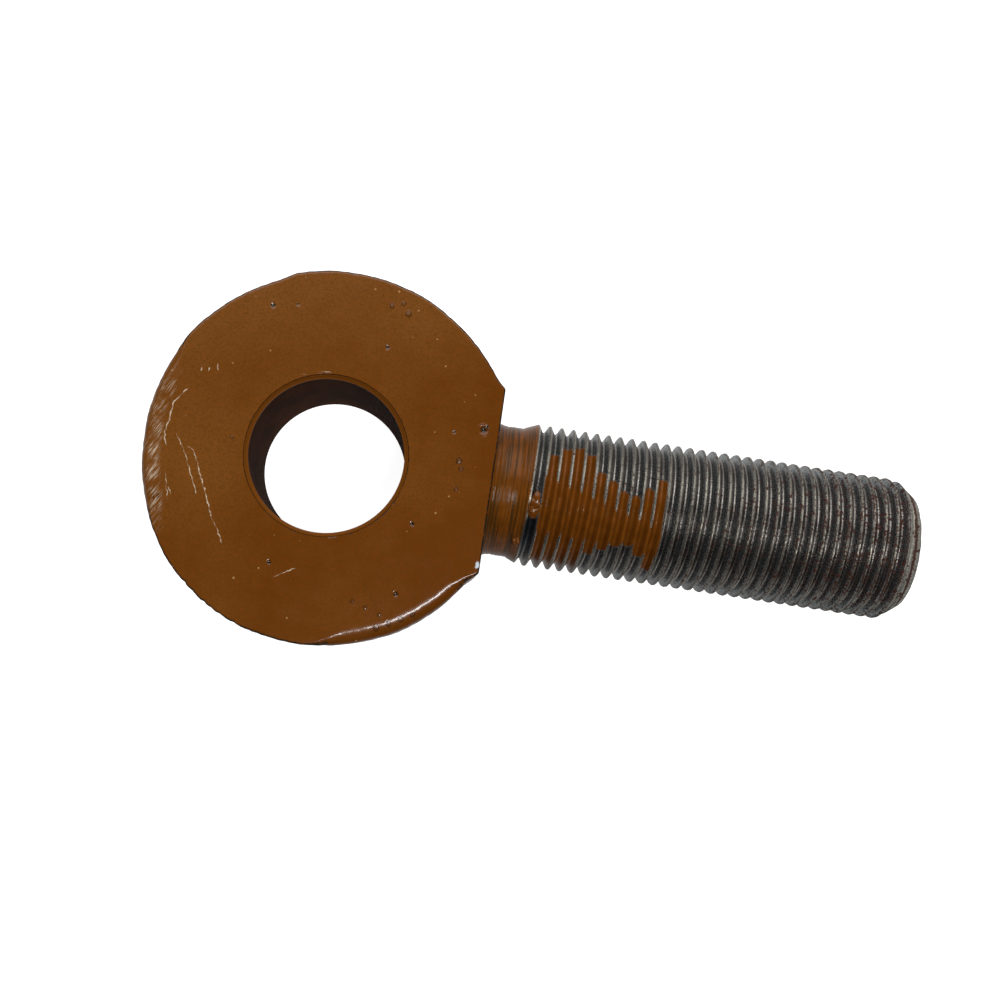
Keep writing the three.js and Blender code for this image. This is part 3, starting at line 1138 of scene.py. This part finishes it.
@dataclass(frozen=True)
class ThreadForm:
    """The shank's turned and threaded section."""

    start: float
    end: float
    pitch: float = 3.0
    groove: float = 48.7
    crest_radius: float = 17.97
    root_radius: float = 16.13
    root_flat: float = 0.5
    flank: float = 28.5
    neck_radius: float = 16.37
    neck_end: float = 46.4
    lead_slope: float = 0.444
    fillet: float = 0.6
    fillet_length: float = 2.4
    end_slope: float = 0.74
    end_radius: float = 14.55
    wear: float = 0.16
    rings: float = 0.4
    lap: float = 0.08
    lap_phase: float = -0.45
    root_ridge: float = 0.05
    root_phase: float = 0.05
    # How far a lap or ridge reaches to each side, in turns of the thread.
    lap_reach: float = 0.07
    # Where laps and ridges come up, past the neck, and where they die out, before the free end.
    rolled_from: tuple[float, float] = (4.5, 8.0)
    rolled_to: tuple[float, float] = (4.4, 3.2)


@dataclass
class ThreadedShank:
    """The shank: turned neck, left-hand thread and chamfered free end, swept by Geometry Nodes."""

    datum: Datum
    finish: ThreadSteel = field(default_factory=ThreadSteel)
    rows_per_turn: int = 18
    columns: int = 144
    turns_before: int = 4
    turns: int = 38
    end_cap: float = 0.6
    buried: float = 0.6
    crowding: float = 0.6
    weld: float = 3e-6  # metres

    def form(self) -> ThreadForm:
        """The section's sizes, from where it leaves the eye to its free end."""
        return ThreadForm(start=self.datum.shoulder - self.buried, end=self.datum.shank_end)

    def _tree(self, form: ThreadForm) -> bpy.types.NodeTree:
        """Builds the tree that sweeps the section round a left-hand helix.

        Args:
            form: The section's sizes, which are the defaults of the tree's inputs.

        Returns:
            The node tree.
        """
        tree = bpy.data.node_groups.new("left_hand_thread", "GeometryNodeTree")
        add = partial(add_node, tree)
        face = tree.interface
        names = {
            "Start": form.start, "End": form.end, "Pitch": form.pitch, "Groove": form.groove,
            "Crest Radius": form.crest_radius, "Root Radius": form.root_radius,
            "Root Flat": form.root_flat, "Neck Radius": form.neck_radius, "Neck End": form.neck_end,
            "End Radius": form.end_radius, "Wear": form.wear, "Bore X": self.datum.bore_x,
            "Axis Z": self.datum.axis_z,
        }
        for name, value in names.items():
            socket = face.new_socket(name, in_out="INPUT", socket_type="NodeSocketFloat")
            socket.default_value = value
        face.new_socket("Finish", in_out="INPUT", socket_type="NodeSocketMaterial")
        face.new_socket("Mesh", in_out="OUTPUT", socket_type="NodeSocketGeometry")
        given = add("NodeGroupInput").outputs

        # A flat grid, one row of columns to each step along the helix: X counts turns, Y goes round.
        grid = add("GeometryNodeMeshGrid", {
            "Size X": float(self.turns), "Vertices X": self.turns * self.rows_per_turn + 1,
            "Size Y": 1.0, "Vertices Y": self.columns + 1,
        })
        position = add("GeometryNodeInputPosition")
        u, v, _ = add("ShaderNodeSeparateXYZ", (position,)).outputs
        u = add(Op.ADD, (u, self.turns / 2))
        v = add(Op.ADD, (v, 0.5))
        # Rows crowd together on the crest and in the root, where the section bends.
        crowd = chain(add, u, (Op.MULTIPLY, 2 * math.tau), (Op.SINE,))
        u = add(Op.MULTIPLY_ADD, (crowd, -self.crowding / (2 * math.tau), u))

        number = add(Op.ROUND, (u,))
        off = chain(add, u, (Op.SUBTRACT, number), (Op.ABSOLUTE,), (Op.MULTIPLY, given["Pitch"]))
        run = chain(add, u, (Op.SUBTRACT, v), (Op.SUBTRACT, float(self.turns_before)))
        x = add(Op.MULTIPLY_ADD, (run, given["Pitch"], given["Groove"]))

        flank = self._thread_radius(add, given, form, off, number, v)
        blank = self._blank_radius(add, given, form, x)
        radius = add(Op.MINIMUM, (flank, blank))

        # Rolling leaves a lap beside each crest and a thin ridge in each root.
        side = add(Op.SUBTRACT, (u, number))
        (rise, full), (fall, gone) = form.rolled_from, form.rolled_to
        first = add(RANGE, (x, form.neck_end + rise, form.neck_end + full, 0.0, 1.0))
        last = add(RANGE, (x, form.end - fall, form.end - gone, 1.0, 0.0))
        threaded = add(Op.MULTIPLY, (first, last))
        for centre, tall in ((form.lap_phase, form.lap), (form.root_phase, form.root_ridge)):
            ridge = chain(add, side, (Op.SUBTRACT, centre), (Op.WRAP, 0.5, -0.5), (Op.ABSOLUTE,))
            ridge = add(RANGE, (ridge, 0.0, form.lap_reach, tall, 0.0), interpolation_type="SMOOTHSTEP")
            radius = add(Op.MULTIPLY_ADD, (ridge, threaded, radius))

        along = chain(add, x, (Op.MAXIMUM, given["Start"]), (Op.MINIMUM, given["End"]))
        past = chain(add, x, (Op.SUBTRACT, along), (Op.ABSOLUTE,))
        shut = add(RANGE, (past, 0.0, self.end_cap, 1.0, 0.0))
        radius = add(Op.MULTIPLY, (radius, shut))

        turn = add(Op.MULTIPLY, (v, math.tau))
        y = add(Op.COSINE, (turn,))
        z = add(Op.SINE, (turn,))
        spoke = add("ShaderNodeCombineXYZ", (along, y, z))
        worn = self._wear(add, given, form, spoke, radius)
        y = add(Op.MULTIPLY, (y, worn))
        z = add(Op.MULTIPLY_ADD, (z, worn, given["Axis Z"]))
        along = add(Op.ADD, (along, given["Bore X"]))
        place = add("ShaderNodeCombineXYZ", (along, y, z))
        place = add(VECTOR, {"Vector": place, "Scale": MM}, operation="SCALE")
        mesh = add("GeometryNodeSetPosition", {"Geometry": grid.outputs["Mesh"], "Position": place})
        mesh = add("GeometryNodeMergeByDistance", {"Geometry": mesh, "Distance": self.weld})
        mesh = add("GeometryNodeRealizeInstances", {"Geometry": mesh})
        mesh = add("GeometryNodeSetMaterial", {"Geometry": mesh, "Material": given["Finish"]})
        add("NodeGroupOutput", {"Mesh": mesh})
        return tree

    def _thread_radius(
        self, add: Adder, given: Any, form: ThreadForm, off: Any, number: Any, v: Any
    ) -> Any:
        """Adds the thread's section, which sinks to full depth over the first half turn.

        Args:
            add: Adds a node to the tree.
            given: The group's inputs.
            form: The section's sizes.
            off: Millimetres along from the middle of the nearest groove.
            number: Which turn of the groove that is.
            v: How far round, from 0 to 1.

        Returns:
            The radius in millimetres.
        """
        half = add(Op.MULTIPLY, (given["Root Flat"], 0.5))
        climb = chain(
            add, off, (Op.SUBTRACT, half), (Op.SMOOTH_MAX, 0.0, 0.12),
            (Op.DIVIDE, math.tan(math.radians(form.flank)))
        )
        radius = add(Op.ADD, (climb, given["Root Radius"]))
        radius = add(Op.SMOOTH_MIN, (radius, given["Crest Radius"], 0.3))
        sunk = chain(add, number, (Op.SUBTRACT, v), (Op.SUBTRACT, float(self.turns_before)))
        lift = add(RANGE, (sunk, 0.0, 0.5, form.crest_radius - form.root_radius + 0.2, 0.0))
        return add(Op.ADD, (radius, lift))

    def _blank_radius(self, add: Adder, given: Any, form: ThreadForm, x: Any) -> Any:
        """Adds the turned blank: fillet, neck, lead-in cone, plain length and end chamfer.

        Args:
            add: Adds a node to the tree.
            given: The group's inputs.
            form: The section's sizes.
            x: Millimetres along the shank.

        Returns:
            The radius in millimetres.
        """
        lead = chain(
            add, x, (Op.SUBTRACT, given["Neck End"]), (Op.SMOOTH_MAX, 0.0, 0.5),
            (Op.MULTIPLY_ADD, form.lead_slope, given["Neck Radius"])
        )
        radius = add(Op.MINIMUM, (lead, given["Crest Radius"]))
        left = chain(
            add, given["End"], (Op.SUBTRACT, x), (Op.MAXIMUM, 0.0),
            (Op.MULTIPLY_ADD, form.end_slope, given["End Radius"])
        )
        radius = add(Op.SMOOTH_MIN, (radius, left, 0.25))
        root = form.start + self.buried
        fillet = chain(add, x, (RANGE, root, root + form.fillet_length, 1.0, 0.0), (Op.POWER, 2.0))
        radius = add(Op.MULTIPLY_ADD, (fillet, form.fillet, radius))
        rings = add(NOISE, {"W": x, "Scale": 1.3, "Detail": 2.0}, noise_dimensions="1D").outputs["Fac"]
        rings = add(Op.SUBTRACT, (rings, 0.5))
        fade = add(RANGE, (x, form.neck_end + 1.5, form.neck_end + 3.0, form.rings, 0.0))
        return add(Op.MULTIPLY_ADD, (rings, fade, radius))

    def _wear(self, add: Adder, given: Any, form: ThreadForm, spoke: Any, radius: Any) -> Any:
        """Adds dents and rubbing, which are deepest on the crests.

        Args:
            add: Adds a node to the tree.
            given: The group's inputs.
            form: The section's sizes.
            spoke: Millimetres along, and the direction out from the axis.
            radius: The radius before wear.

        Returns:
            The worn radius in millimetres.
        """
        wide = add(VECTOR, (spoke, (1.0, 18.0, 18.0)), operation="MULTIPLY")
        dents = add(NOISE, {"Vector": wide, "Scale": 0.45, "Detail": 4.0, "Roughness": 0.6})
        dents = add(RANGE, (dents.outputs["Fac"], 0.45, 0.75, 0.0, 1.0))
        high = add(RANGE, (radius, form.crest_radius - 0.5, form.crest_radius, 0.06, 1.0))
        depth = chain(add, dents, (Op.MULTIPLY, high), (Op.MULTIPLY, given["Wear"]))
        solid = add(RANGE, (radius, 8.0, 12.0, 0.0, 1.0))
        depth = add(Op.MULTIPLY, (depth, solid))
        return add(Op.SUBTRACT, (radius, depth))

    def build(self) -> list[bpy.types.Object]:
        """Sweeps the shank, makes it a plain mesh and dresses it.

        Returns:
            The shank, alone in a list.
        """
        form = self.form()
        tree = self._tree(form)
        holder = bpy.data.objects.new("shank_sweep", bpy.data.meshes.new("shank_sweep"))
        bpy.context.scene.collection.objects.link(holder)
        modifier = holder.modifiers.new("thread", "NODES")
        modifier.node_group = tree
        sockets = {s.name: s.identifier for s in tree.interface.items_tree if s.in_out == "INPUT"}
        finish = self.finish.material(self.datum, form)
        modifier[sockets["Finish"]] = finish
        modifier[sockets["Pitch"]] = form.pitch
        graph = bpy.context.evaluated_depsgraph_get()
        mesh = bpy.data.meshes.new_from_object(holder.evaluated_get(graph))
        bpy.data.objects.remove(holder)
        piece = finish_mesh("threaded_shank", mesh, sharp=50)
        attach(piece, "root")
        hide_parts("rod_eye")
        return [piece]


@dataclass(frozen=True)
class Drop:
    """One drop of enamel on the shank: where it sits and how big it is."""

    x: float
    around: float
    length: float
    width: float
    height: float
    seat: float


@dataclass
class PaintDrops:
    """Drops of enamel that dried on the neck and over the first grooves."""

    datum: Datum
    finish: EyeEnamel = field(default_factory=EyeEnamel)
    rings: int = 14
    columns: int = 36
    drops: tuple[Drop, ...] = (
        Drop(48.1, -49.5, 1.15, 1.25, 1.15, 17.0),
        Drop(51.3, -11.5, 1.8, 2.2, 0.85, 16.9),
        Drop(51.1, -19.5, 1.8, 1.7, 0.75, 16.9),
    )

    def _shape(self, index: int, drop: Drop) -> bpy.types.Object:
        """Makes one drop, a flattened bead that hangs a little downhill.

        Args:
            index: The drop's number.
            drop: Its place and size.

        Returns:
            The new object.
        """
        slope = np.linspace(0, math.pi, self.rings)[:, None]
        turn = np.linspace(0, math.tau, self.columns, endpoint=False)
        uneven = 1 + 0.12 * ripple(turn, 40 + index, (2, 3, 5))
        along = drop.x + drop.length * np.sin(slope) * np.cos(turn) * uneven
        round_by = drop.width * np.sin(slope) * np.sin(turn) * uneven
        wrinkle = 0.16 * np.sin(2 * slope) ** 2 * ripple(turn, 50 + index, (3, 5, 8))
        out = drop.seat + drop.height * (np.cos(slope) + wrinkle)
        angle = math.radians(drop.around) + round_by / drop.seat
        y, z = out * np.sin(angle), self.datum.axis_z + out * np.cos(angle)
        points = self.datum.place(along, y, z)
        mesh = bpy.data.meshes.new(f"paint_drop_{index}")
        n = self.columns
        inner = points[1:-1].reshape(-1, 3)
        top, bottom = len(inner), len(inner) + 1
        faces: list[tuple[int, ...]] = []
        for i in range(self.rings - 3):
            low, high = i * n, (i + 1) * n
            faces += [(low + j, low + (j + 1) % n, high + (j + 1) % n, high + j) for j in range(n)]
        faces += [(top, (j + 1) % n, j) for j in range(n)]
        last = (self.rings - 3) * n
        faces += [(bottom, last + j, last + (j + 1) % n) for j in range(n)]
        vertices = [*inner.tolist(), points[0, 0].tolist(), points[-1, 0].tolist()]
        mesh.from_pydata(vertices, [], faces)
        return finish_mesh(f"paint_drop_{index}", mesh)

    def build(self) -> list[bpy.types.Object]:
        """Builds the drops and dresses them.

        Returns:
            The drops.
        """
        material = self.finish.material(self.datum)
        pieces = []
        for index, drop in enumerate(self.drops, 1):
            piece = self._shape(index, drop)
            piece.data.materials.append(material)
            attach(piece, "root")
            pieces.append(piece)
        return pieces


@dataclass(frozen=True)
class Softbox:
    """One rectangular studio lamp, in metres."""

    name: str
    place: tuple[float, float, float]
    size: tuple[float, float]
    power: float
    aim: tuple[float, float, float] = (0.0, 0.0, 0.02)


@dataclass
class Studio:
    """White paper to stand on, a strip lamp overhead, soft lamps on the +Y side, and a dim room."""

    floor_half: float = 3.0
    gap: float = 0.0002
    room: float = 0.03
    backdrop: float = 0.72
    paper: StudioPaper = field(default_factory=StudioPaper)
    lamps: tuple[Softbox, ...] = (
        Softbox("key_strip", (0.23, -0.25, 1.0), (0.4, 0.06), 6.0, (0.2, 0.0, 0.02)),
        Softbox("side_wall", (-0.15, 1.3, 0.6), (1.9, 0.8), 8.0),
        Softbox("back_fill", (-0.2, 0.75, 0.95), (1.4, 0.7), 8.6),
    )

    def build(self) -> None:
        """Builds the floor, lamps and room."""
        h = self.floor_half
        mesh = bpy.data.meshes.new("studio_floor")
        mesh.from_pydata([(-h, -h, 0), (h, -h, 0), (h, h, 0), (-h, h, 0)], [], [(0, 1, 2, 3)])
        mesh.materials.append(self.paper.material())
        floor = bpy.data.objects.new("studio_floor", mesh)
        floor.location.z = CAD_BOX[0].z - self.gap
        bpy.context.scene.collection.objects.link(floor)
        for lamp in self.lamps:
            light = bpy.data.lights.new(lamp.name, "AREA")
            light.shape = "RECTANGLE"
            light.size, light.size_y = lamp.size
            light.energy = lamp.power
            holder = bpy.data.objects.new(lamp.name, light)
            holder.location = lamp.place
            toward = Vector(lamp.aim) - Vector(lamp.place)
            holder.rotation_euler = toward.to_track_quat("-Z", "Y").to_euler()
            holder.visible_camera = False
            bpy.context.scene.collection.objects.link(holder)
        world = bpy.data.worlds.new("studio_room")
        bpy.context.scene.world = world
        world.use_nodes = True
        world.node_tree.nodes.clear()
        add = partial(add_node, world.node_tree)
        seen = add("ShaderNodeLightPath").outputs["Is Camera Ray"]
        level = add(RANGE, (seen, 0.0, 1.0, self.room, self.backdrop))
        sky = add("ShaderNodeBackground", {"Color": (1, 1, 1, 1), "Strength": level})
        add("ShaderNodeOutputWorld", {"Surface": sky})
        bpy.context.scene.view_settings.view_transform = "Standard"


@dataclass
class Viewpoint:
    """The camera, nearly overhead, rolled a little so that the shank runs down to the right."""

    place: tuple[float, float, float] = (-24.51, -39.14, 341.51)
    aim: tuple[float, float, float] = (-8.33, -2.37, 18.0)
    roll: float = 8.3
    lens: float = 46.43
    sensor: float = 36.0

    def build(self) -> None:
        """Builds the camera and makes it the scene's."""
        data = bpy.data.cameras.new("camera")
        data.lens, data.sensor_width = self.lens, self.sensor
        data.clip_start, data.clip_end = 0.01, 20.0
        camera = bpy.data.objects.new("camera", data)
        back = (Vector(self.place) - Vector(self.aim)).normalized()
        right = Vector((0, 1, 0)).cross(back).normalized()
        up = back.cross(right)
        turned = Matrix((right, up, back)).transposed()
        turned = Matrix.Rotation(math.radians(self.roll), 3, back) @ turned
        camera.matrix_world = Matrix.Translation(Vector(self.place) * MM) @ turned.to_4x4()
        bpy.context.scene.collection.objects.link(camera)
        bpy.context.scene.camera = camera


def main() -> None:
    """Builds the part and its studio, and reports each piece."""
    logging.basicConfig(level=logging.INFO, format="%(name)s: %(message)s")
    datum = Datum.measured(frame["record"])
    Viewpoint().build()
    Studio().build()
    for assembly in (Eye(datum), BoreBush(datum), ThreadedShank(datum), PaintDrops(datum)):
        for piece in assembly.build():
            maker, faces = type(assembly).__name__, len(piece.data.polygons)
            LOG.info("%s from %s: %d faces", piece.name, maker, faces)


if __name__ == "__main__":
    main()
